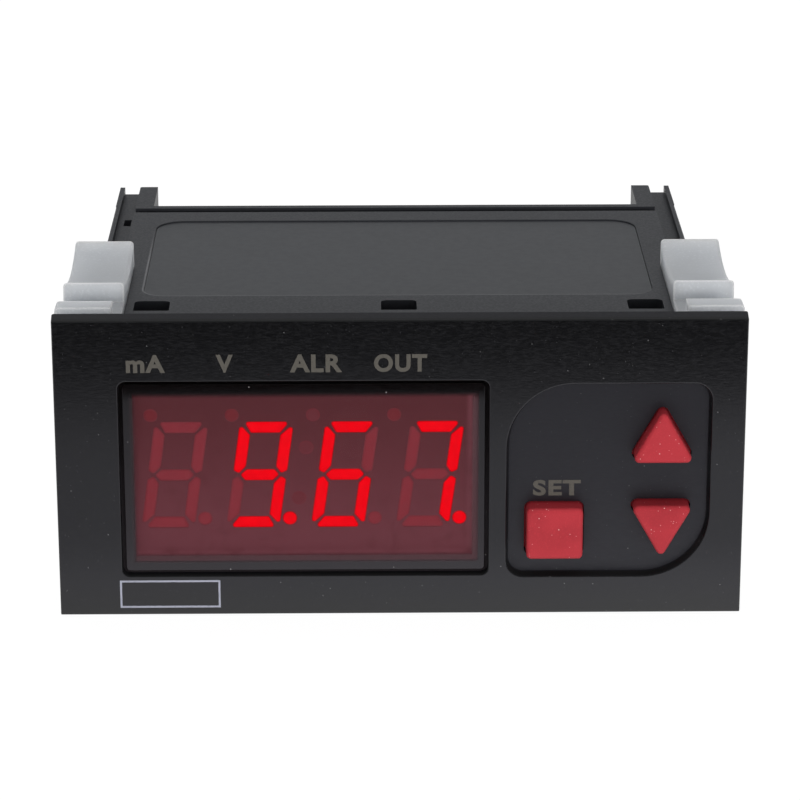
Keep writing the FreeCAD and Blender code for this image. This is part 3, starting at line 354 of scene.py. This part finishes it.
def bezel_black():
    """Fine-grained moulding: a glossy face, matt walls and a paler, duller key recess."""
    finish = Finish("bezel_black", (0.0036, 0.0036, 0.004), roughness=0.24, specular=0.6)
    grain = finish.noise(size=0.2, detail=4.0, stretch=(3.0, 1.0, 0.8))
    speckle = finish.noise(size=0.13)
    grain_tone = (0.0085, 0.0085, 0.0092)
    recess_tone = (0.0099, 0.0097, 0.0125)
    finish.tint(grain_tone, finish.spread(grain, 0.45, 0.75, end=0.8))
    _, y, _ = finish.axes()
    recess = finish.spread(y, *RECESS_START_Y)
    finish.tint(recess_tone, recess)
    finish.dust((0.045, 0.045, 0.048), radius=0.07, spacing=0.4, share=0.14)
    finish.dust((0.16, 0.16, 0.16), radius=0.08, spacing=0.8, share=0.14)
    uneven = finish.spread(grain, NOISE_LOW, NOISE_HIGH, -0.04, 0.04)
    _, forward, upward = finish.facing()
    walls = finish.spread(finish.math("ABSOLUTE", forward), 0.1, 0.3, BEZEL_MATT, BEZEL_GLOSS)
    tops = finish.spread(upward, 0.15, 0.5, end=BEZEL_MATT)
    dull = finish.math("MULTIPLY", recess, RECESS_ROUGHNESS)
    finish.set("Roughness", finish.math("ADD", finish.fold("MAXIMUM", [walls, tops, dull]), uneven))
    finish.bump(grain, depth=0.005)
    finish.bump(speckle, depth=0.004)
    return finish


def painted_rim_highlight(finish):
    """1 on a narrow line round the front and left of the label recess, where a highlight is painted, and 0
    elsewhere.
    """
    x, y, z = finish.axes()
    aside = finish.math("SUBTRACT", finish.math("ABSOLUTE", x), LABEL_HALF_WIDTH - LABEL_CORNER)
    ahead = finish.math("SUBTRACT", LABEL_FRONT + LABEL_CORNER, y)
    reach = [finish.math("POWER", finish.math("MAXIMUM", way, 0.0), 2.0) for way in (aside, ahead)]
    outside = finish.math("SUBTRACT", finish.math("SQRT", finish.math("ADD", *reach)), LABEL_CORNER)
    low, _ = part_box("type_label")
    shares = [
        finish.spread(outside, RIM_WIDTH, 0.6 * RIM_WIDTH),
        finish.spread(outside, -RIM_WIDTH, -0.5 * RIM_WIDTH),
        finish.spread(y, *RIM_BACK_FADE),
        finish.spread(x, *RIM_RIGHT_FADE),
        finish.math("GREATER_THAN", z, low.z / MM),
    ]
    return finish.fold("MULTIPLY", shares)


def housing_black():
    """Satin moulding with painted highlights on its edges and along the rim of the label recess."""
    finish = moulded("housing_black", (0.025, 0.026, 0.03), roughness=0.48, specular=0.42, cloudy=0.3)
    finish.dust((0.08, 0.08, 0.08), radius=0.08, spacing=1.0, share=0.06)
    # painted highlight: the edges are made paler
    finish.tint((0.075, 0.077, 0.082), finish.spread(finish.edge(0.2), 0.03, 0.25, end=0.6))
    # painted highlight: a pale line along the front and left rim of the label recess
    finish.tint((0.14, 0.141, 0.147), painted_rim_highlight(finish))
    return finish


def key_red():
    """Satin red moulding with soft edges and two sizes of dust."""
    finish = moulded("key_red", (0.49, 0.038, 0.05), roughness=0.46, specular=0.25, grain=0.18, soften=0.5)
    finish.dust((0.80, 0.38, 0.37), radius=0.07, spacing=0.35, share=0.2)
    finish.dust((0.85, 0.5, 0.48), radius=0.09, spacing=0.7, share=0.3)
    return finish


def clip_grey():
    """Translucent grey moulding with flow lines and painted highlights on its edges."""
    finish = moulded(
        "clip_grey", (0.57, 0.592, 0.62), roughness=0.42, specular=0.4, grain=0.3, relief=0.002, cloudy=0.12
    )
    flow = finish.noise(size=0.5, stretch=(6.0, 0.5, 6.0))
    finish.tint((0.54, 0.562, 0.588), finish.spread(flow, 0.56, 0.7, end=0.3))
    # painted highlight: the edges are made almost white
    finish.tint((0.93, 0.935, 0.94), finish.spread(finish.edge(0.5), 0.02, 0.15, end=0.9))
    finish.set("Subsurface Weight", 1.0)
    finish.set("Subsurface Radius", (1.0, 1.0, 1.0))
    finish.set("Subsurface Scale", 8.0 * MM)
    return finish


def label_film():
    """Smooth dark film, a little cloudy, with painted highlights on its edges."""
    finish = Finish("label_dark", (0.034, 0.036, 0.040), roughness=0.4, specular=0.4)
    cloud = finish.noise(size=4.0, detail=3.0)
    finish.tint((0.031, 0.033, 0.036), finish.spread(cloud, 0.4, 0.65, end=0.7))
    # painted highlight: the edges are made paler
    finish.tint((0.075, 0.078, 0.082), finish.spread(finish.edge(0.3), 0.02, 0.15, end=0.8))
    finish.vary_roughness(finish.noise(size=0.8), 0.385, 0.415)
    finish.bump(finish.noise(size=0.25), depth=0.0004)
    return finish


def window_tint():
    """A clear lens whose dark border is partly painted shadow, at its top and in its trench; at its right
    and foot it lets a little red through, with painted red glow and a painted reflection paler towards its
    foot.
    """
    finish = Finish("window_tint", (0.002, 0.001, 0.001), roughness=0.12)
    x, y, z = finish.axes()
    painted_reflection_tone = (0.018, 0.0145, 0.0165)
    painted_glow_tone = (0.068, 0.028, 0.033)
    # painted reflection: the lens is darkest at its top and paler towards its foot
    finish.tint(painted_reflection_tone, finish.spread(z, CLEAR_TOP, CLEAR_BOTTOM))
    # painted red glow in the band at the right and foot, where the red face shines through
    painted_glow_share = [
        finish.spread(x, BAND_RIGHT + NARROW_BLUR, BAND_RIGHT - NARROW_BLUR),
        finish.spread(x, CLEAR_LEFT - WIDE_BLUR, CLEAR_LEFT + WIDE_BLUR),
        finish.spread(z, BAND_BOTTOM - NARROW_BLUR, BAND_BOTTOM + NARROW_BLUR),
        finish.spread(z, CLEAR_TOP, CLEAR_TOP - WIDE_BLUR),
    ]
    finish.tint(painted_glow_tone, finish.fold("MULTIPLY", painted_glow_share))
    # the dark border is partly painted shadow: the band along the top, under the opening's edge, and the
    # trench
    painted_shadow_sides = [
        finish.spread(x, CLEAR_LEFT + WIDE_BLUR, CLEAR_LEFT - WIDE_BLUR),
        finish.spread(z, CLEAR_TOP - WIDE_BLUR, CLEAR_TOP + WIDE_BLUR),
        finish.spread(x, CLEAR_RIGHT - NARROW_BLUR, CLEAR_RIGHT + NARROW_BLUR, end=BAND_COVER),
        finish.spread(x, BAND_RIGHT - NARROW_BLUR, BAND_RIGHT + NARROW_BLUR),
        finish.spread(z, CLEAR_BOTTOM + NARROW_BLUR, CLEAR_BOTTOM - NARROW_BLUR, end=BAND_COVER),
        finish.spread(z, BAND_BOTTOM + NARROW_BLUR, BAND_BOTTOM - NARROW_BLUR),
        finish.spread(y, *TRENCH_Y),
    ]
    in_front = finish.spread(y, *LENS_BACK_Y)
    painted_shadow_cover = finish.math("MULTIPLY", finish.fold("MAXIMUM", painted_shadow_sides), in_front)
    finish.set("Alpha", finish.spread(painted_shadow_cover, 0.0, 1.0, LENS_HAZE, BORDER_COVER))
    gloss = finish.spread(finish.noise(size=0.3), NOISE_LOW, NOISE_HIGH, 0.04, 0.08)
    matt_trench = finish.spread(y, *TRENCH_Y, end=0.8)
    finish.set("Roughness", finish.math("ADD", gloss, matt_trench))
    finish.dust((0.6, 0.58, 0.58), radius=0.07, spacing=0.8, share=0.12)
    return finish


def display_case():
    """The module's face: maroon, with painted shade darkest at its top and painted light towards its foot
    and right end.
    """
    finish = Finish("display_case", (0.096, 0.018, 0.023), roughness=0.5, specular=0.3)
    low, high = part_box("led_display")
    x, _, z = finish.axes()
    # painted shade: the recessed face is darkest at its top and paler towards its foot
    finish.tint((0.152, 0.037, 0.049), finish.spread(z, high.z / MM, low.z / MM))
    # painted light at the foot and right end, against the shadow of the window's lip
    end = finish.math("MAXIMUM", finish.spread(z, *PALE_FOOT), finish.spread(x, *PALE_RIGHT))
    finish.tint((0.2, 0.056, 0.071), end)
    finish.tint((0.090, 0.016, 0.0205), finish.spread(finish.noise(size=1.2), 0.5, 0.75, end=0.4))
    finish.vary_roughness(finish.noise(size=0.4), 0.45, 0.55)
    return finish


def segment_dark():
    """Unlit resin, darker in the lamps, the colon and round each segment's rim."""
    finish = Finish("segment_dark", (0.248, 0.026, 0.0375), roughness=0.5, specular=0.3)
    finish.tint((0.222, 0.0245, 0.035), finish.spread(finish.noise(size=0.6), 0.4, 0.7, end=0.7))
    x, y, z = finish.axes()
    slope = math.tan(math.radians(DIGIT_SLANT))
    lean = finish.math("MULTIPLY", finish.math("SUBTRACT", z, DIGIT_Z), slope)
    off_centre = finish.math("SUBTRACT", finish.math("SUBTRACT", x, COLON_X), lean)
    colon = finish.math("LESS_THAN", finish.math("ABSOLUTE", off_centre), COLON_HALF_WIDTH)
    lamps = finish.math("GREATER_THAN", z, LAMP_BOTTOM)
    finish.tint((0.17, 0.0175, 0.0235), lamps)
    finish.tint((0.14, 0.023, 0.031), colon)
    finish.tint((0.18, 0.026, 0.036), finish.spread(y, SEGMENT_FACE + 0.005, SEGMENT_RIM))
    finish.vary_roughness(finish.noise(size=0.4), 0.45, 0.55)
    return finish


def segment_lit():
    """Glowing resin, dimmer round each segment's rim."""
    finish = Finish("segment_lit", (0.12, 0.0, 0.001), roughness=0.5, specular=0.0)
    finish.set("Emission Color", (1.0, 0.0, 0.006, 1.0))
    glow = finish.spread(finish.noise(size=0.8), NOISE_LOW, NOISE_HIGH, 0.78, 0.88)
    _, y, _ = finish.axes()
    core = finish.spread(y, SEGMENT_RIM, SEGMENT_FACE + 0.015, start=0.3)
    finish.set("Emission Strength", finish.math("MULTIPLY", glow, core))
    return finish


def board_green():
    """Solder mask over woven glass, with raised tracks."""
    finish = Finish("board_green", (0.012, 0.075, 0.028), roughness=0.35)
    weave = finish.add("TexChecker", {"Vector": finish.cells(0.5), "Scale": 1.0})
    finish.tint((0.016, 0.095, 0.036), weave.outputs["Fac"])
    blocks = {"Vector": finish.cells(3.5), "Scale": 1.0}
    gaps = finish.add("TexVoronoi", blocks, feature="DISTANCE_TO_EDGE", distance="MANHATTAN")
    tracks = finish.spread(gaps.outputs["Distance"], 0.09, 0.06)
    finish.tint((0.03, 0.14, 0.05), tracks)
    finish.bump(tracks, depth=0.03)
    return finish


def build_finishes():
    """The finish of every material slot in the record."""
    return {
        "bezel_black": bezel_black(),
        "housing_black": housing_black(),
        "window_tint": window_tint(),
        "key_red": key_red(),
        "plunger_white": moulded("plunger_white", (0.72, 0.69, 0.60), 0.45),
        "switch_black": moulded("switch_black", (0.016, 0.016, 0.017), 0.42),
        "display_case": display_case(),
        "segment_lit": segment_lit(),
        "segment_dark": segment_dark(),
        "board_green": board_green(),
        "pin_brass": metal("pin_brass", (0.78, 0.60, 0.30), 0.3),
        "label_dark": label_film(),
        "clip_grey": clip_grey(),
        "block_black": moulded("block_black", (0.018, 0.018, 0.019), 0.5, specular=0.4),
        "core_steel": banded("core_steel", (0.36, 0.36, 0.37), (0.06, 0.06, 0.06), 0.45, pitch=0.5),
        "coil_copper": banded("coil_copper", (0.72, 0.30, 0.12), (0.16, 0.05, 0.02), 0.3, pitch=0.3),
        "relay_blue": moulded("relay_blue", (0.03, 0.12, 0.38), 0.38),
        "sleeve_dark": moulded("sleeve_dark", (0.012, 0.012, 0.03), 0.3, grain=0.4, relief=0.003),
        "film_yellow": moulded("film_yellow", (0.62, 0.40, 0.04), 0.4),
        "varistor_blue": moulded("varistor_blue", (0.02, 0.10, 0.30), 0.35, grain=0.5, relief=0.01),
        "screw_steel": metal("screw_steel", (0.66, 0.66, 0.64), 0.32, stretch=(6.0, 1.0, 1.0)),
        "clamp_steel": metal("clamp_steel", (0.58, 0.57, 0.52), 0.36, stretch=(1.0, 5.0, 1.0)),
    }


def dress_nodes(finishes):
    """Gives every CAD node the finish of its slot."""
    for part in frame["record"]["subparts"]:
        node = frame["nodes"][part["node"]]
        node.data.materials.clear()
        node.data.materials.append(finishes[part["material_slot"]].material)


def add_piece(name, mesh, finish, body):
    piece = bpy.data.objects.new(name, mesh)
    bpy.context.scene.collection.objects.link(piece)
    mesh.materials.clear()
    mesh.materials.append(finish.material)
    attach(piece, body)


def text_mesh(text):
    """Lettering as a thin slab in the x-y plane, bold and a little spaced."""
    curve = bpy.data.curves.new("lettering", "FONT")
    curve.body = text
    curve.offset = LETTER_BOLDNESS
    curve.space_character = LETTER_SPACE
    curve.extrude = LETTER_DEPTH
    curve.resolution_u = LETTER_CURVE_STEPS
    source = bpy.data.objects.new("lettering", curve)
    bpy.context.scene.collection.objects.link(source)
    bpy.context.view_layer.update()
    graph = bpy.context.evaluated_depsgraph_get()
    mesh = bpy.data.meshes.new_from_object(source.evaluated_get(graph))
    bpy.data.objects.remove(source)
    bpy.data.curves.remove(curve)
    return mesh


def add_legend(name, text, left, right, base, height, face, finish):
    """Lettering printed on an upright face, fitted to a box given in millimetres."""
    mesh = text_mesh(text)
    corners = [vertex.co for vertex in mesh.vertices]
    low = Vector(min(c[i] for c in corners) for i in range(3))
    high = Vector(max(c[i] for c in corners) for i in range(3))
    size = (right - left, height, PRINT_THICKNESS)
    stretch = Matrix.Diagonal([wanted / (high[i] - low[i]) for i, wanted in enumerate(size)]).to_4x4()
    upright = Matrix.Rotation(math.radians(90), 4, "X")
    place = Matrix.Translation((left, face, base))
    mesh.transform(Matrix.Scale(MM, 4) @ place @ upright @ stretch @ Matrix.Translation(-low))
    shape = bmesh.new()
    shape.from_mesh(mesh)
    bmesh.ops.remove_doubles(shape, verts=shape.verts, dist=WELD_DISTANCE)
    shape.to_mesh(mesh)
    shape.free()
    add_piece(name, mesh, finish, "case")


def rectangle(inset):
    """The marking field's corners in x and z, moved in from its outline."""
    left, right = FIELD_LEFT + inset, FIELD_RIGHT - inset
    bottom, top = FIELD_BOTTOM + inset, FIELD_TOP - inset
    return [(left, bottom), (right, bottom), (right, top), (left, top)]


def outline_mesh(name, outer, inner, back, front):
    """A closed ring between two outlines in x and z, given a thickness along y."""
    shape = bmesh.new()
    rows = []
    for y in (back, front):
        for outline in (outer, inner):
            rows.append([shape.verts.new(Vector((x, y, z)) * MM) for x, z in outline])
    back_outer, back_inner, front_outer, front_inner = rows
    for i in range(len(outer)):
        j = (i + 1) % len(outer)
        shape.faces.new((front_outer[i], front_outer[j], front_inner[j], front_inner[i]))
        shape.faces.new((back_inner[i], back_inner[j], back_outer[j], back_outer[i]))
        shape.faces.new((back_outer[i], back_outer[j], front_outer[j], front_outer[i]))
        shape.faces.new((front_inner[i], front_inner[j], back_inner[j], back_inner[i]))
    bmesh.ops.recalc_face_normals(shape, faces=shape.faces)
    mesh = bpy.data.meshes.new(name)
    shape.to_mesh(mesh)
    shape.free()
    return mesh


def print_front():
    """The legends and the outline of the blank marking field."""
    legend_ink = ink("legend_ink", (0.104, 0.096, 0.082), (0.07, 0.065, 0.057), roughness=0.55)
    for name, (text, left, right) in LEGENDS.items():
        add_legend(name, text, left, right, LEGEND_BASE, LEGEND_HEIGHT, FACE_Y, legend_ink)
    text, left, right = SET_LEGEND
    add_legend("legend_set", text, left, right, SET_BASE, SET_HEIGHT, RECESS_Y, legend_ink)
    field_ink = ink("field_ink", (0.43, 0.44, 0.52), (0.26, 0.27, 0.33), roughness=0.5)
    mesh = outline_mesh(
        "marking_field", rectangle(0.0), rectangle(FIELD_RULE), FACE_Y, FACE_Y - PRINT_THICKNESS
    )
    add_piece("marking_field", mesh, field_ink, "case")


def make_camera():
    pitch, yaw, roll = (math.radians(a) for a in (CAMERA_PITCH, CAMERA_YAW, CAMERA_ROLL))
    forward = Vector(
        (math.sin(yaw) * math.cos(pitch), math.cos(yaw) * math.cos(pitch), -math.sin(pitch))
    )
    level = Vector((math.cos(yaw), -math.sin(yaw), 0.0))
    rise = level.cross(forward)
    across = math.cos(roll) * level + math.sin(roll) * rise
    up = math.cos(roll) * rise - math.sin(roll) * level
    eye = Vector(LOOK_AT) - CAMERA_DISTANCE * forward
    camera = bpy.data.objects.new("camera", bpy.data.cameras.new("camera"))
    bpy.context.scene.collection.objects.link(camera)
    camera.data.sensor_width = SENSOR
    camera.data.lens = FOCAL_LENGTH / IMAGE_SIZE * SENSOR
    camera.data.clip_start = CLIP_START
    camera.data.clip_end = CLIP_END
    turn = Matrix((across, up, -forward)).transposed().to_4x4()
    camera.matrix_world = Matrix.Translation(eye * MM) @ turn
    bpy.context.scene.camera = camera


class Stage(Nodes):
    """Nodes of the world and the floor, which show each kind of ray something else."""

    def __init__(self, owner):
        super().__init__(owner)
        self.path = self.add("LightPath")

    def ray(self, kind):
        return self.path.outputs[f"Is {kind} Ray"]

    def straight(self):
        """1 for what the camera sees, also through glass."""
        return self.math("MAXIMUM", self.ray("Camera"), self.ray("Transmission"))

    def axes(self, coordinates):
        return self.split(self.add("TexCoord").outputs[coordinates])

    def choose(self, share, first, second):
        return self.add("MixShader", {"Fac": share, 1: first, 2: second}).outputs["Shader"]


def make_world():
    """White for the camera and through glass, and low behind the object for gloss; else a dim room."""
    world = bpy.data.worlds.new("studio")
    bpy.context.scene.world = world
    stage = Stage(world)
    _, backward, upward = stage.axes("Generated")
    light = stage.spread(backward, *FRONT_TO_BACK, *ROOM_FOR_GLOSS)
    light = stage.math("MAXIMUM", light, stage.spread(upward, *CEILING_RISE, end=CEILING_FOR_GLOSS))
    strength = stage.add("Mix", {"Factor": stage.ray("Glossy"), "A": ROOM_LEVEL, "B": light})
    room = stage.add("Background", {"Color": ROOM_COLOUR, "Strength": strength.outputs["Result"]})
    behind = stage.spread(backward, *FRONT_TO_BACK)
    low = stage.spread(upward, BACKDROP_TOP, 0.0)
    backdrop = stage.fold("MINIMUM", [behind, low, stage.ray("Glossy")])
    white = stage.add("Background", {"Color": WHITE, "Strength": 1.0})
    seen = stage.math("MAXIMUM", stage.straight(), backdrop)
    surface = stage.choose(seen, room.outputs["Background"], white.outputs["Background"])
    stage.feed(stage.tree.nodes["World Output"], "Surface", surface)


def floor_tone(level):
    return (*(level * share for share in FLOOR_GLOSS_COLOUR), 1.0)


def floor_paper():
    """White paper, with the tones of a small table where gloss shows it."""
    material = bpy.data.materials.new("floor_white")
    stage = Stage(material)
    paper = stage.tree.nodes["Principled BSDF"]
    stage.feed(paper, "Base Color", FLOOR_WHITE)
    stage.feed(paper, "Roughness", FLOOR_ROUGHNESS)
    stage.feed(paper, "Specular IOR Level", FLOOR_SPECULAR)
    x, y, _ = stage.axes("Object")
    tones = stage.add("ValToRGB", {"Fac": stage.spread(y, FLOOR_EDGE, 0.0, kind="LINEAR")})
    # the ramp's own last stop stays white
    stops = tones.color_ramp.elements
    stops[0].color = floor_tone(FLOOR_DARK)
    for distance, level in FLOOR_GLOSS:
        stops.new(1.0 - distance / FLOOR_EDGE).color = floor_tone(level)
    across = stage.spread(x, *FLOOR_SIDES, kind="LINEAR")
    table = stage.add("Emission", {"Color": tones.outputs["Color"], "Strength": across})
    soft = stage.add("BsdfDiffuse", {"Color": SHADOW_SHARE})
    bright = stage.add("Emission", {"Color": WHITE_BUT_SHADOW, "Strength": 1.0})
    seen = stage.add("AddShader", {0: soft.outputs["BSDF"], 1: bright.outputs["Emission"]})
    mirrored = stage.choose(stage.ray("Glossy"), paper.outputs["BSDF"], table.outputs["Emission"])
    surface = stage.choose(stage.straight(), mirrored, seen.outputs["Shader"])
    stage.feed(stage.tree.nodes["Material Output"], "Surface", surface)
    return material


def make_floor():
    shape = bmesh.new()
    bmesh.ops.create_grid(shape, x_segments=FLOOR_CELLS, y_segments=FLOOR_CELLS, size=FLOOR_HALF_SIZE)
    mesh = bpy.data.meshes.new("floor")
    shape.to_mesh(mesh)
    shape.free()
    mesh.materials.append(floor_paper())
    floor = bpy.data.objects.new("floor", mesh)
    bpy.context.scene.collection.objects.link(floor)
    floor.location = (0.0, 0.0, CAD_LOW.z)


def make_lights():
    for name, (place, target, width, depth, power, glossy) in LAMPS.items():
        lamp = bpy.data.lights.new(name, "AREA")
        lamp.shape = "RECTANGLE"
        lamp.size = width
        lamp.size_y = depth
        lamp.energy = power
        holder = bpy.data.objects.new(name, lamp)
        bpy.context.scene.collection.objects.link(holder)
        holder.location = place
        holder.rotation_mode = "QUATERNION"
        holder.rotation_quaternion = (Vector(target) - Vector(place)).to_track_quat("-Z", "Y")
        holder.visible_glossy = glossy


dress_nodes(build_finishes())
print_front()
make_camera()
make_floor()
make_lights()
make_world()
bpy.context.scene.view_settings.view_transform = "Standard"

bpy.context.view_layer.update()
